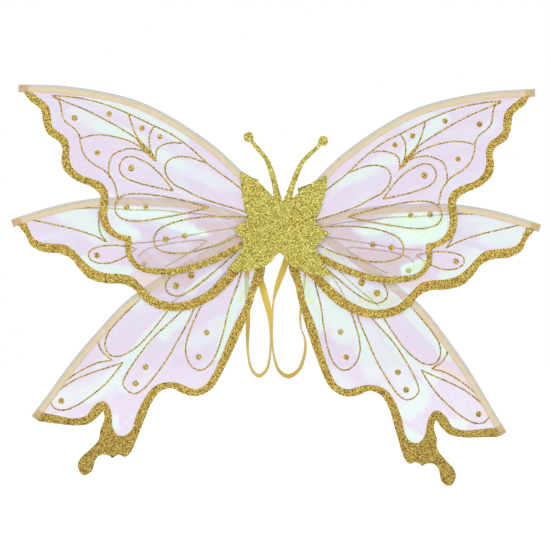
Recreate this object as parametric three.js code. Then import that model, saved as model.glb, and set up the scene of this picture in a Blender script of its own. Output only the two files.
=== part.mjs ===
// Fairy wings: three film wings a side on sprung strips, glued between two butterfly-shaped foam
// covers, with two elastic shoulder loops sewn to the rear cover.
// Millimetres, +Z up. The wearer stands on the +Y side.
import * as THREE from "three";

// Driving dimensions.
const CLEARANCE = 0.3;
const FOAM_THICKNESS = 2;
const FILM_THICKNESS = 0.4;
const SLEEVE = { width: 12, thickness: 2.3, wall: 0.35, chamfer: 0.7, innerChamfer: 0.35, steps: 14 };
const SPAR = { width: 8, thickness: 1, setBack: 5 };
const STRAP = { width: 10, thickness: 1, chamfer: 0.3, step: 9 };
const TACK = { length: 8, height: 1.6, thickness: 0.6 };
const CORE = { halfWidth: 14, bottom: -30, top: 36, corner: 8 };
const FILM_TUCK = 3.5; // how far the film reaches past the spar, under its sleeve
const FILM_END_INSET = 2; // how far the film stops short of the sleeve's end
const COVER_TILT = 3; // degrees that the covers lean to +X, as glued
const SPAN_STEPS = 3; // straight pieces in one curved span of an outline
const MEETING = 0.5; // points of an outline nearer than this are one corner

const radians = THREE.MathUtils.degToRad;

// The stack runs forward from y = 0: rear cover, lower, middle and upper wing, front cover.
const WING_DEPTH = FILM_THICKNESS + CLEARANCE + SLEEVE.thickness;
const wingRear = (layer) => -FOAM_THICKNESS - CLEARANCE - layer * (WING_DEPTH + CLEARANCE);
const FRONT_COVER_REAR = wingRear(3);

const glitterFoam = new THREE.MeshStandardMaterial({ color: 0xc1b55f, roughness: 0.5, metalness: 0.6 });
const film = new THREE.MeshStandardMaterial({ color: 0xe6e2f2, roughness: 0.15, metalness: 0 });
const sleeveFilm = new THREE.MeshStandardMaterial({ color: 0xd9d1b4, roughness: 0.3, metalness: 0 });
const boning = new THREE.MeshStandardMaterial({ color: 0xd8b98a, roughness: 0.45, metalness: 0 });
const elastic = new THREE.MeshStandardMaterial({ color: 0xdcc35f, roughness: 0.7, metalness: 0 });
const thread = new THREE.MeshStandardMaterial({ color: 0xc9ab4c, roughness: 0.8, metalness: 0 });
const core = new THREE.MeshStandardMaterial({ color: 0xe9e6df, roughness: 0.9, metalness: 0 });

function mesh(name, geometry, material) {
  const made = new THREE.Mesh(geometry, material);
  made.name = name;
  return made;
}

// A smooth run through the points, each of them [across, up].
function smooth(points) {
  const curve = new THREE.SplineCurve(points.map(([across, up]) => new THREE.Vector2(across, up)));
  return curve.getPoints((points.length - 1) * SPAN_STEPS);
}

// One closed outline of several smooth runs that meet at corners.
function outline(runs) {
  const points = [];
  for (const point of runs.flat()) {
    const last = points.at(-1);
    if (!last || last.distanceTo(point) > MEETING) points.push(point);
  }
  if (points[0].distanceTo(points.at(-1)) < MEETING) points.pop();
  return new THREE.Shape(points);
}

// A flat plate that stands in the X-Z plane, with its rear face at the given y.
function plate(shape, thickness, rear) {
  const geometry = new THREE.ExtrudeGeometry(shape, { depth: thickness, bevelEnabled: false });
  return geometry.rotateX(Math.PI / 2).translate(0, rear, 0);
}

function chamferedBar(width, height, chamfer) {
  const [w, h] = [width / 2, height / 2];
  const corners = [
    [w, h - chamfer], [w - chamfer, h], [chamfer - w, h], [-w, h - chamfer],
    [-w, chamfer - h], [chamfer - w, -h], [w - chamfer, -h], [w, chamfer - h],
  ];
  return corners.map(([x, y]) => new THREE.Vector2(x, y));
}

// Wings. Each is drawn with its root at the left, [outward, up]. The spar runs from root to tip, and
// the trailing edge comes back from the tip, in runs that meet at corners.
const UPPER_WING = {
  spar: [
    [35, 56], [66, 86], [96, 115], [155, 156.5], [214, 187], [273, 202.5], [332, 210.5], [394, 212.5],
  ],
  trailing: [
    [
      [385, 205], [377, 194], [361, 181], [357, 162], [350, 144], [334, 133], [328, 121], [330, 106],
      [325, 89], [307, 74], [283, 64], [271, 50], [273, 28], [269, 6], [256, -8], [234, -18],
    ],
    [
      [234, -18], [232, -39], [217, -58], [194, -66], [160, -67], [125, -59], [89, -45], [60, -28],
      [32, -9],
    ],
  ],
};

const MIDDLE_WING = {
  spar: [
    [41, 10], [85, 27], [122, 36], [164, 41], [227, 43.5], [272, 42.5], [317, 35.5], [362, 24], [404, 10],
  ],
  trailing: [
    [
      [392, 3], [383, -9], [376, -23], [358, -33], [335, -35], [316, -43], [302, -60], [286, -74],
      [262, -80], [238, -81], [220, -90], [206, -106], [185, -118], [157, -122], [130, -117],
      [103, -104], [82, -86], [59, -60], [41, -42],
    ],
  ],
};

const LOWER_WING = {
  spar: [
    [36, 8], [60, -6], [122, -42], [182, -77], [228, -110], [270, -154], [310, -201], [349, -254],
    [371, -283],
  ],
  trailing: [
    [[365, -288], [340, -291], [312, -294], [291, -292], [278, -283], [268, -272]],
    [
      [268, -272], [266, -284], [272, -300], [275, -316], [289, -331], [302, -343], [306, -356],
      [298, -369], [285, -362], [279, -345], [270, -338], [260, -339], [254, -343],
    ],
    [
      [254, -343], [244, -338], [234, -341], [224, -330], [208, -291], [196, -262], [183, -244],
      [165, -238], [148, -246], [129, -250], [110, -243], [95, -226], [68, -171], [44, -113],
      [38, -93], [26, -69], [24, -53],
    ],
    [[24, -53], [33, -47]],
  ],
};

function sparCurve(wing) {
  return new THREE.CatmullRomCurve3(wing.spar.map(([out, up]) => new THREE.Vector3(out, 0, up)));
}

// The part of a curve from one share of its length to another.
class Stretch extends THREE.Curve {
  constructor(whole, from, to) {
    super();
    Object.assign(this, { whole, from, to });
  }

  getPoint(t, target = new THREE.Vector3()) {
    return this.whole.getPointAt(this.from + (this.to - this.from) * t, target);
  }
}

function filmShape(wing) {
  const curve = sparCurve(wing);
  const leading = [];
  for (let i = 0; i <= SLEEVE.steps; i += 1) {
    const at = curve.getPointAt(i / SLEEVE.steps);
    const along = curve.getTangentAt(i / SLEEVE.steps);
    leading.push(new THREE.Vector2(at.x - along.z * FILM_TUCK, at.z + along.x * FILM_TUCK));
  }
  const back = leading.at(-2).clone().sub(leading.at(-1)).setLength(FILM_END_INSET);
  leading.at(-1).add(back);
  return outline([leading, ...wing.trailing.map(smooth)]);
}

// A strip swept along the spar line, flat in the wing's plane.
function strip(curve, section) {
  const options = { steps: SLEEVE.steps, bevelEnabled: false, extrudePath: curve };
  return new THREE.ExtrudeGeometry(section, options);
}

function sleeveSection() {
  const section = new THREE.Shape(chamferedBar(SLEEVE.thickness, SLEEVE.width, SLEEVE.chamfer));
  const hollow = [SLEEVE.thickness - 2 * SLEEVE.wall, SLEEVE.width - 2 * SLEEVE.wall];
  section.holes.push(new THREE.Path(chamferedBar(...hollow, SLEEVE.innerChamfer).reverse()));
  return section;
}

function sparSection() {
  const [w, h] = [SPAR.thickness / 2, SPAR.width / 2];
  return new THREE.Shape([[w, h], [-w, h], [-w, -h], [w, -h]].map(([x, y]) => new THREE.Vector2(x, y)));
}

function makeWing(name, wing, layer) {
  const group = new THREE.Group();
  const rear = wingRear(layer);
  const curve = sparCurve(wing);
  const inset = SPAR.setBack / curve.getLength();
  const sleeve = mesh(`${name}_sleeve`, strip(curve, sleeveSection()), sleeveFilm);
  const spar = mesh(`${name}_spar`, strip(new Stretch(curve, 0, 1 - inset), sparSection()), boning);
  sleeve.position.y = rear - FILM_THICKNESS - CLEARANCE - SLEEVE.thickness / 2;
  spar.position.y = sleeve.position.y;
  group.add(mesh(`${name}_film`, plate(filmShape(wing), FILM_THICKNESS, rear), film), sleeve, spar);
  return group;
}

// The left wings lie as drawn, and the right ones are their mirror images, each glued on a little turned
// and shifted: turn in degrees to +X at the top, then shift [across, up].
const WINGS = [
  { name: "upper", wing: UPPER_WING, layer: 2, turn: -1.5, shift: [-7.5, -17] },
  { name: "middle", wing: MIDDLE_WING, layer: 1, turn: -0.8, shift: [-15, -13] },
  { name: "lower", wing: LOWER_WING, layer: 0, turn: 5.6, shift: [-7, 11] },
];

function makeWings() {
  const group = new THREE.Group();
  for (const { name, wing, layer, turn, shift } of WINGS) {
    const left = makeWing(`left_${name}`, wing, layer);
    left.scale.x = -1;
    const right = makeWing(`right_${name}`, wing, layer);
    right.rotation.y = radians(turn);
    right.position.set(shift[0], 0, shift[1]);
    group.add(left, right);
  }
  return group;
}

// Covers, drawn as the half on the +X side of their own centre line, from top to bottom.
const ANTENNA_BALL = { across: 56, up: 136.5, radius: 7.5 };

function antennaHalf() {
  const ball = [];
  const { across, up, radius } = ANTENNA_BALL;
  for (let angle = 190; angle >= -110; angle -= 30) {
    const turn = radians(angle);
    ball.push(new THREE.Vector2(across + radius * Math.cos(turn), up + radius * Math.sin(turn)));
  }
  const inner = smooth([[0, 42], [5.5, 58], [13, 81], [22, 102], [34, 117], [48, 131]]);
  const outer = smooth([[52, 127], [41, 115], [30, 102], [21.5, 80], [16.5, 64], [14, 48.5]]);
  return [inner, ball, outer];
}

const FRONT_LOBES = [
  [[14, 48.5], [37, 69.5], [64, 85]],
  [[64, 85], [64.5, 70], [61.5, 50], [57, 30], [50, 16.5]],
  [[50, 16.5], [57, 7.5], [72.5, 0]],
  [[72.5, 0], [63, -11.5], [56, -20], [55.5, -28], [61, -40], [79, -64]],
  [[79, -64], [57, -66.5], [36, -61], [21, -55], [12, -48], [6, -39], [0, -34]],
];

function frontCoverHalf() {
  return [...antennaHalf(), ...FRONT_LOBES.map(smooth)];
}

// The rear cover is cut a little smaller, and by hand, so its two shoulders differ.
const REAR_LOBES = [
  [[60, 81], [61, 68], [58, 50], [53, 30], [46, 16]],
  [[46, 16], [53, 7], [67, 0]],
  [[67, 0], [58, -12], [52, -22], [57, -40], [73, -60]],
  [[73, -60], [54, -62], [34, -57], [16, -46], [0, -32]],
];
const REAR_SHOULDERS = { right: [[23.5, 58], [21, 64]], left: [[38.5, 69.5], [38, 74]] };

function rearCoverHalf(shoulder) {
  const top = [[0, 36], ...shoulder, REAR_LOBES[0][0]].map(([across, up]) => new THREE.Vector2(across, up));
  return [top, ...REAR_LOBES.map(smooth)];
}

function mirrored(runs) {
  return runs.map((run) => run.map((point) => new THREE.Vector2(-point.x, point.y)).reverse()).reverse();
}

function makeCovers() {
  const covers = new THREE.Group();
  const front = outline([...frontCoverHalf(), ...mirrored(frontCoverHalf())]);
  const { left, right } = REAR_SHOULDERS;
  const rear = outline([...rearCoverHalf(right), ...mirrored(rearCoverHalf(left))]);
  covers.add(
    mesh("front_cover", plate(front, FOAM_THICKNESS, FRONT_COVER_REAR), glitterFoam),
    mesh("back_cover", plate(rear, FOAM_THICKNESS, 0), glitterFoam),
  );
  covers.rotation.y = radians(COVER_TILT);
  return covers;
}

function makeCorePad() {
  const { halfWidth, bottom, top, corner } = CORE;
  const shape = new THREE.Shape(
    [
      [halfWidth - corner, bottom], [halfWidth, bottom + corner], [halfWidth, top - corner],
      [halfWidth - corner, top], [corner - halfWidth, top], [-halfWidth, top - corner],
      [-halfWidth, bottom + corner], [corner - halfWidth, bottom],
    ].map(([across, up]) => new THREE.Vector2(across, up)),
  );
  const rear = wingRear(0);
  return mesh("core_pad", plate(shape, rear - FRONT_COVER_REAR - CLEARANCE, rear), core);
}

// Shoulder straps: flat elastic. Each point of a route is [x, y, z, twist]: with no twist the band faces
// -Y, and at 90 degrees it is seen edge-on.
const SEWN_Y = CLEARANCE + STRAP.thickness / 2;
const LEFT_ROUTE = [
  [-3, SEWN_Y, 30, 0], [-14, SEWN_Y, 29, 0], [-27, 4, 23, 5], [-39, 10, 8, 20],
  [-47, 15, -16, 40], [-51, 18, -45, 55], [-52, 19, -78, 60], [-51, 19, -112, 60],
  [-50.5, 18, -140, 62], [-51, 17, -168, 72], [-49.5, 16, -192, 84], [-44, 15, -210, 82],
  [-33.5, 14, -218, 74], [-22, 13, -209, 82], [-17, 12, -190, 86], [-15.5, 11, -168, 80],
  [-15.5, 11, -146, 66], [-18, 11, -124, 35], [-23, 10, -105, 12], [-28, 10, -86, 0],
  [-33, 9, -68, 0], [-35, 7, -51, 0], [-31, 4, -37, 0], [-19, SEWN_Y, -30, 0], [-6, SEWN_Y, -27, 0],
];
const RIGHT_ROUTE = [
  [3, SEWN_Y, 31, 0], [14, SEWN_Y, 31, 0], [26, 4, 26, 5], [34, 9, 12, 20],
  [38, 13, -10, 40], [38, 15, -40, 60], [36, 16, -72, 72], [33, 16, -98, 80],
  [30, 16, -120, 84], [29, 16, -136, 88], [31, 16, -150, 88], [35.5, 16, -162, 80],
  [37, 16, -176, 70], [34, 17, -194, 72], [26.5, 18, -210, 74], [11, 19, -219, 68],
  [-3, 20, -211, 80], [-10.5, 22, -192, 86], [-13.5, 24, -166, 86], [-13.5, 24, -136, 86],
  [-11.5, 22, -108, 78], [-6, 18, -85, 40], [1.5, 12, -64, 10], [7.5, 4, -47, 0],
  [12, SEWN_Y, -34, 0], [15.5, SEWN_Y, -23, 0],
];

class Band extends THREE.CatmullRomCurve3 {
  constructor(route) {
    super(route.map(([x, y, z]) => new THREE.Vector3(x, y, z)));
    this.twists = route.map((point) => radians(point[3]));
  }

  twistAt(t) {
    const place = t * (this.twists.length - 1);
    const before = Math.min(Math.floor(place), this.twists.length - 2);
    return THREE.MathUtils.lerp(this.twists[before], this.twists[before + 1], place - before);
  }

  // The section's x is the band's width and its y is the thickness.
  computeFrenetFrames(steps) {
    const frames = { tangents: [], normals: [], binormals: [] };
    for (let i = 0; i <= steps; i += 1) {
      const t = this.getUtoTmapping(i / steps);
      const tangent = this.getTangent(t);
      const flat = new THREE.Vector3(0, 1, 0).cross(tangent).normalize();
      const normal = flat.applyAxisAngle(tangent, this.twistAt(t));
      frames.tangents.push(tangent);
      frames.normals.push(normal);
      frames.binormals.push(tangent.clone().cross(normal));
    }
    return frames;
  }
}

function makeStrap(side, route) {
  const path = new Band(route);
  const section = new THREE.Shape(chamferedBar(STRAP.width, STRAP.thickness, STRAP.chamfer));
  const steps = Math.round(path.getLength() / STRAP.step);
  const geometry = new THREE.ExtrudeGeometry(section, { steps, bevelEnabled: false, extrudePath: path });
  return mesh(`${side}_strap`, geometry, elastic);
}

// A bar tack is a short bar of thread across the sewn end of a strap.
function makeTack(name, [x, , z], [nextX, , nextZ]) {
  const geometry = new THREE.BoxGeometry(TACK.height, TACK.thickness, TACK.length);
  const tack = mesh(name, geometry, thread);
  const rear = CLEARANCE + STRAP.thickness + CLEARANCE + TACK.thickness / 2;
  tack.position.set((x + nextX) / 2, rear, (z + nextZ) / 2);
  tack.rotation.y = -Math.atan2(nextZ - z, nextX - x);
  return tack;
}

function makeStraps() {
  const group = new THREE.Group();
  for (const [side, route] of [["left", LEFT_ROUTE], ["right", RIGHT_ROUTE]]) {
    group.add(
      makeStrap(side, route),
      makeTack(`${side}_upper_tack`, route[0], route[1]),
      makeTack(`${side}_lower_tack`, route.at(-1), route.at(-2)),
    );
  }
  return group;
}

const fairyWings = new THREE.Group();
fairyWings.add(makeWings(), makeCovers(), makeCorePad(), makeStraps());
export default fairyWings;
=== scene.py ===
"""The looks of the fairy wings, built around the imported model. Metres, +Z up, the wearer on the +Y side."""
import math

import bmesh
import bpy
import numpy as np
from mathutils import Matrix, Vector, noise
from mathutils.geometry import delaunay_2d_cdt


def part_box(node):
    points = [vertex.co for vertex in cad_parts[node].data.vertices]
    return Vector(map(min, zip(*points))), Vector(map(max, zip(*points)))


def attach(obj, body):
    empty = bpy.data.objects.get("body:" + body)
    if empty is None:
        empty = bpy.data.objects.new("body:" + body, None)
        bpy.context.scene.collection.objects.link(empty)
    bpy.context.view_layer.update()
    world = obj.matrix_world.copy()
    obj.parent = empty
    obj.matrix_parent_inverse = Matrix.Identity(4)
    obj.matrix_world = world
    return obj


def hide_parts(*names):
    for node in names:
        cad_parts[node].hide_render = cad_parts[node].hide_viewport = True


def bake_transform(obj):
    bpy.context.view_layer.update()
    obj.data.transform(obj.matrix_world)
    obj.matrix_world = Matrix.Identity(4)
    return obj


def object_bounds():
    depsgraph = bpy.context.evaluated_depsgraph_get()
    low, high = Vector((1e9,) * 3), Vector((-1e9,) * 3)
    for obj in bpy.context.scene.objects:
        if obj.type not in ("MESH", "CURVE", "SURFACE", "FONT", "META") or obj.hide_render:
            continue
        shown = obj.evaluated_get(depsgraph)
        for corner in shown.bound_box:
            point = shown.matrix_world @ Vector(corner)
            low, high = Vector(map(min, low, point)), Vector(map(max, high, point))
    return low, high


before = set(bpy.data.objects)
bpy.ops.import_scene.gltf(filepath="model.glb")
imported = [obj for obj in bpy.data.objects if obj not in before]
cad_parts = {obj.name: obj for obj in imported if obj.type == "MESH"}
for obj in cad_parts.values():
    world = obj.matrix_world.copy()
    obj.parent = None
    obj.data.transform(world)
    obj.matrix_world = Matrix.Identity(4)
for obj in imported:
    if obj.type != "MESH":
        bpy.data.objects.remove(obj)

MM = 0.001
CAD_BOX = [list(corner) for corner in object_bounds()]
SIGN = {"left": -1, "right": 1}  # of x, on each side of the middle

# Camera: square on to the front, with the wings filling most of the picture's width.
LENS = 100
SENSOR = 36
VIEW_WIDTH = 1.037  # the picture's width at the wings, in widths of the model
VIEW_SHIFT = Vector((-1.6, 0, 15.9)) * MM  # from the middle of the model's box to the picture's middle


def make_camera():
    low, high = (Vector(corner) for corner in CAD_BOX)
    width = (high.x - low.x) * VIEW_WIDTH
    data = bpy.data.cameras.new("camera")
    data.lens = LENS
    data.sensor_width = SENSOR
    camera = bpy.data.objects.new("camera", data)
    bpy.context.scene.collection.objects.link(camera)
    centre = (low + high) / 2 + VIEW_SHIFT
    wings_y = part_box("left_middle_sleeve")[0].y
    camera.location = (centre.x, wings_y - width * LENS / SENSOR, centre.z)
    camera.rotation_euler = (math.radians(90), 0, 0)
    bpy.context.scene.camera = camera


make_camera()


# Materials -----------------------------

MIX_FACTOR, MIX_A, MIX_B, MIX_RESULT = 0, 6, 7, 2  # a Mix node's sockets when it mixes colours


class Surface:
    """A material round one Principled shader, with short calls for its nodes."""

    def __init__(self, name, **sockets):
        self.material = bpy.data.materials.new(name)
        self.material.use_nodes = True
        self.tree = self.material.node_tree
        self.shader = next(n for n in self.tree.nodes if n.type == "BSDF_PRINCIPLED")
        for socket, value in sockets.items():
            self.shader.inputs[socket.replace("_", " ")].default_value = value

    def node(self, kind, inputs=(), **settings):
        """A new node. inputs is {socket: value or output}, and settings are the node's properties."""
        made = self.tree.nodes.new(kind)
        for key, value in settings.items():
            setattr(made, key, value)
        for socket, value in dict(inputs).items():
            if isinstance(value, bpy.types.NodeSocket):
                self.tree.links.new(value, made.inputs[socket])
            else:
                made.inputs[socket].default_value = value
        return made

    def to(self, socket, output):
        self.tree.links.new(output, self.shader.inputs[socket])

    def place(self, which="Object", scale=(1, 1, 1)):
        source = self.node("ShaderNodeTexCoord").outputs[which]
        return self.node("ShaderNodeMapping", {"Vector": source, "Scale": scale}).outputs[0]

    def parts(self, vector):
        """The three numbers of a vector or colour, as outputs."""
        return self.node("ShaderNodeSeparateXYZ", {0: vector}).outputs

    def attribute(self, name):
        return self.node("ShaderNodeAttribute", attribute_name=name).outputs["Fac"]

    def cells(self, place, scale, output="Color"):
        return self.node("ShaderNodeTexVoronoi", {"Vector": place, "Scale": scale}).outputs[output]

    def noise(self, place, scale, detail, distortion=0.0):
        inputs = {"Vector": place, "Scale": scale, "Detail": detail, "Distortion": distortion}
        return self.node("ShaderNodeTexNoise", inputs).outputs["Fac"]

    def streaks(self, along, across, detail, distortion=0.0, offset=(0, 0, 0)):
        """Noise over the UV, with so many waves to one unit along and across."""
        place = self.vector("ADD", self.place("UV", (along, across, 1)), offset)
        return self.noise(place, 1.0, detail, distortion)

    def ramp(self, value, stops):
        made = self.node("ShaderNodeValToRGB", {"Fac": value})
        elements = made.color_ramp.elements
        for position, colour in stops[1:-1]:
            elements.new(position).color = (*colour, 1)
        for element, (position, colour) in ((elements[0], stops[0]), (elements[-1], stops[-1])):
            element.position = position
            element.color = (*colour, 1)
        return made.outputs["Color"]

    def math(self, operation, a, b=0.0):
        return self.node("ShaderNodeMath", {0: a, 1: b}, operation=operation).outputs[0]

    def blend(self, a, b, share):
        """A number that is share of a, and the rest of it b."""
        return self.math("ADD", self.math("MULTIPLY", a, share), self.math("MULTIPLY", b, 1 - share))

    def vector(self, operation, a, b=(0, 0, 0), **inputs):
        return self.node("ShaderNodeVectorMath", {0: a, 1: b, **inputs}, operation=operation).outputs[0]

    def mix(self, factor, a, b, blend="MIX"):
        colours = [c if isinstance(c, bpy.types.NodeSocket) else (*c, 1) for c in (a, b)]
        inputs = {MIX_FACTOR: factor, MIX_A: colours[0], MIX_B: colours[1]}
        return self.node("ShaderNodeMix", inputs, data_type="RGBA", blend_type=blend).outputs[MIX_RESULT]

    def multiply(self, a, b):
        return self.mix(1.0, a, b, "MULTIPLY")

    def between(self, value, low, high, start=0.0, end=1.0):
        """low where the value is start, going over to high where it is end."""
        inputs = {"Value": value, "From Min": start, "From Max": end, "To Min": low, "To Max": high}
        return self.node("ShaderNodeMapRange", inputs).outputs[0]

    def bump(self, height, strength, distance):
        inputs = {"Height": height, "Strength": strength, "Distance": distance}
        self.to("Normal", self.node("ShaderNodeBump", inputs).outputs[0])


CLUMP = 0.9 * MM
FLAKE = 0.4 * MM
CLUMP_SHARE = 0.78  # how much of a flake's shade is its clump's
FLAKE_TILT = 0.6
SHADE_STEPS = (0.16, 0.32, 0.50, 0.66, 0.78, 0.91)
TAIL_TOP = -0.24
TAIL_BOTTOM = -0.32


def glitter(name, shades, patch, low_shade=(1, 1, 1)):
    """Metallic flakes in clumps, each flake with its own shade and tilt.

    The shades run from the darkest flakes to the brightest, patch is the broad patches' shade, and low_shade
    is what all of it turns to at the tails.
    """
    s = Surface(name, Metallic=0.5, Specular_IOR_Level=0.5)
    place = s.place()
    flakes = s.cells(place, 1 / FLAKE)
    flake = s.parts(flakes)
    shade = s.blend(s.parts(s.cells(place, 1 / CLUMP))[0], flake[0], CLUMP_SHARE)
    patches = s.ramp(s.noise(place, scale=45, detail=3), [(0.42, (1, 1, 1)), (0.68, patch)])
    low = s.between(s.parts(place)[2], 0.0, 1.0, TAIL_TOP, TAIL_BOTTOM)
    plain = s.ramp(shade, list(zip(SHADE_STEPS, shades)))
    s.to("Base Color", s.multiply(plain, s.mix(low, patches, low_shade)))
    s.to("Roughness", s.between(flake[1], 0.25, 0.55))
    tilt = s.vector("SCALE", s.vector("SUBTRACT", flakes, (0.5, 0.5, 0.5)), Scale=FLAKE_TILT)
    normal = s.node("ShaderNodeNewGeometry").outputs["Normal"]
    s.to("Normal", s.vector("NORMALIZE", s.vector("ADD", normal, tilt)))
    return s.material


FILM_ALPHA = 0.56
CLEARED = 0.16  # how much clearer the doubled film is where it isn't pink
PRINTED_ALPHA = 0.25  # share of the film's alpha left where the border's glitter shows through its back
STREAK_TINT = 0.24  # how far the streaks turn the tint either way
SEED_STEP = (7.3, 3.1)  # how far apart two wings' streaks lie in the noise
GLEAM = (0.60, 0.64, 0.73)
SINGLE_FILM = [
    (0.0, (0.66, 0.42, 0.22)), (0.22, (0.60, 0.38, 0.48)), (0.42, (0.55, 0.40, 0.64)),
    (0.54, (0.55, 0.43, 0.66)), (0.61, (0.56, 0.56, 0.69)), (0.69, (0.56, 0.65, 0.70)),
    (0.78, (0.55, 0.71, 0.69)), (0.90, (0.48, 0.75, 0.65)), (1.0, (0.50, 0.68, 0.28)),
]
# Painted light: the film's colours where it lies over another wing's film, mostly paler than SINGLE_FILM,
# standing in for the light that passes through both films.
DOUBLED_FILM = [
    (0.0, (0.55, 0.45, 0.38)), (0.22, (0.57, 0.41, 0.42)), (0.42, (0.60, 0.49, 0.66)),
    (0.54, (0.63, 0.54, 0.70)), (0.61, (0.66, 0.70, 0.76)), (0.69, (0.70, 0.82, 0.82)),
    (0.78, (0.73, 0.92, 0.85)), (0.90, (0.75, 0.96, 0.84)), (1.0, (0.62, 0.82, 0.42)),
]


def wing_film(name, seed):
    """Sheer film. Its colour turns with its "tint": peach at 0, lilac at the middle, mint, and green at 1.

    Where it lies over another wing's film, its "doubled" is 1, and where it carries the wide glitter border,
    its "printed" is 1. UV is (along the spar, away from it) in metres, so that its finer streaks run with the
    spar.
    """
    s = Surface(name, IOR=1.6, Specular_IOR_Level=0.6)
    tint, doubled, printed = (s.attribute(which) for which in ("tint", "doubled", "printed"))
    offset = (seed * SEED_STEP[0], seed * SEED_STEP[1], 0)
    streak = s.streaks(8, 38, detail=3, distortion=0.7, offset=offset)
    value = s.math("ADD", tint, s.between(streak, -STREAK_TINT, STREAK_TINT))
    colour = s.mix(doubled, s.ramp(value, SINGLE_FILM), s.ramp(value, DOUBLED_FILM))
    gleam = s.streaks(11, 85, detail=2, distortion=0.9, offset=offset)
    s.to("Base Color", s.mix(s.between(gleam, 0.0, 0.45, 0.54, 0.68), colour, GLEAM))
    clearing = s.math("MULTIPLY", doubled, s.between(value, 0.0, CLEARED, 0.2, 0.5))
    alpha = s.math("SUBTRACT", FILM_ALPHA, clearing)
    s.to("Alpha", s.math("MULTIPLY", alpha, s.between(printed, 1.0, PRINTED_ALPHA)))
    s.to("Roughness", s.between(streak, 0.14, 0.34))
    s.bump(s.streaks(40, 170, detail=3, distortion=0.6), strength=0.25, distance=0.4 * MM)
    return s.material


TIP_BLOCK = 14 * MM  # the strip's taped end, from the tip
TIP_BLOCK_EDGE = 1.5 * MM
TAPE = (0.46, 0.33, 0.14)


def sleeve_film():
    """The film folded round the strip. UV is (metres from the tip, 0 at the inner edge to 1 at the outer)."""
    s = Surface("sleeve_film", Alpha=0.62, IOR=1.6, Specular_IOR_Level=0.6)
    from_tip, across, _ = s.parts(s.place("UV"))
    # The bands across the sleeve: the grey line along its outer edge, where the film folds round, is a
    # painted reflection.
    bands = s.ramp(across, [
        (0.0, (0.60, 0.47, 0.40)), (0.10, (0.72, 0.58, 0.40)), (0.40, (0.68, 0.64, 0.44)),
        (0.66, (0.53, 0.58, 0.47)), (0.85, (0.47, 0.50, 0.48)), (0.94, (0.42, 0.44, 0.47)),
        (1.0, (0.30, 0.32, 0.36)),
    ])
    drift = s.streaks(14, 1.2, detail=2, distortion=0.3)
    change = s.ramp(drift, [(0.35, (1.0, 0.93, 0.93)), (0.5, (1, 1, 1)), (0.65, (0.92, 1.0, 0.92))])
    taped = s.between(from_tip, 1.0, 0.0, TIP_BLOCK, TIP_BLOCK + TIP_BLOCK_EDGE)
    s.to("Base Color", s.mix(taped, s.multiply(bands, change), TAPE))
    s.to("Roughness", s.between(drift, 0.18, 0.40))
    s.bump(s.streaks(120, 3, detail=3), strength=0.3, distance=0.3 * MM)
    return s.material


def boning():
    """Tan sprung plastic, faintly mottled."""
    s = Surface("boning", Specular_IOR_Level=0.4)
    place = s.place()
    mottle = s.noise(place, scale=140, detail=4)
    s.to("Base Color", s.ramp(mottle, [(0.3, (0.60, 0.40, 0.20)), (0.7, (0.74, 0.54, 0.30))]))
    s.to("Roughness", s.between(mottle, 0.35, 0.6))
    s.bump(s.noise(place, scale=900, detail=2), strength=0.2, distance=0.1 * MM)
    return s.material


STRAP_LENGTH = 0.505
RIB_PITCH = 1.25 * MM
BRAID_PITCH = 0.9 * MM
BRAID_LEAN = 0.35 * MM
RIB_SHARE = 0.6  # of the weave's height, and the braid's threads are the rest


def elastic():
    """Braided elastic: ribs along it and a herringbone of threads. UV is (along, across) in metres."""
    s = Surface("elastic", Sheen_Weight=0.25, Sheen_Roughness=0.5, Specular_IOR_Level=0.35)
    along, across, _ = s.parts(s.place("UV"))
    ribs = s.math("SINE", s.math("MULTIPLY", across, 2 * math.pi / RIB_PITCH))
    lean = s.math("MULTIPLY", s.math("ABSOLUTE", ribs), BRAID_LEAN)
    threads = s.math("SINE", s.math("MULTIPLY", s.math("ADD", along, lean), 2 * math.pi / BRAID_PITCH))
    height = s.between(s.blend(ribs, threads, RIB_SHARE), 0.0, 1.0)
    # Painted shade: the weave darker in its grooves and lighter on its crests, following the bump's height.
    shade = s.ramp(height, [
        (0.0, (0.64, 0.45, 0.055)), (0.5, (0.86, 0.67, 0.12)), (1.0, (0.97, 0.82, 0.23)),
    ])
    wear = s.ramp(s.streaks(30, 90, detail=3), [(0.35, (0.92, 0.90, 0.84)), (0.6, (1, 1, 1))])
    # Painted shade: the strap darker round the bottom of its loop, about the middle of its length.
    painted_loop_shade = s.ramp(s.math("MULTIPLY", along, 1 / STRAP_LENGTH), [
        (0.20, (1, 1, 1)), (0.40, (0.84, 0.81, 0.80)), (0.64, (0.82, 0.78, 0.80)), (0.76, (1, 1, 1)),
    ])
    s.to("Base Color", s.multiply(s.multiply(shade, wear), painted_loop_shade))
    s.to("Roughness", s.between(height, 0.75, 0.5))
    s.bump(height, strength=0.8, distance=0.15 * MM)
    return s.material


def thread():
    s = Surface("thread", Sheen_Weight=0.3)
    waves = s.node("ShaderNodeTexWave", {"Vector": s.place(), "Scale": 900, "Distortion": 1.5})
    twist = waves.outputs["Fac"]
    # Painted shade: the thread darker in the grooves of its twist, which the bump also follows.
    s.to("Base Color", s.ramp(twist, [(0.0, (0.42, 0.30, 0.06)), (1.0, (0.66, 0.50, 0.15))]))
    s.to("Roughness", s.between(twist, 0.85, 0.6))
    s.bump(twist, strength=0.6, distance=0.1 * MM)
    return s.material


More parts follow.
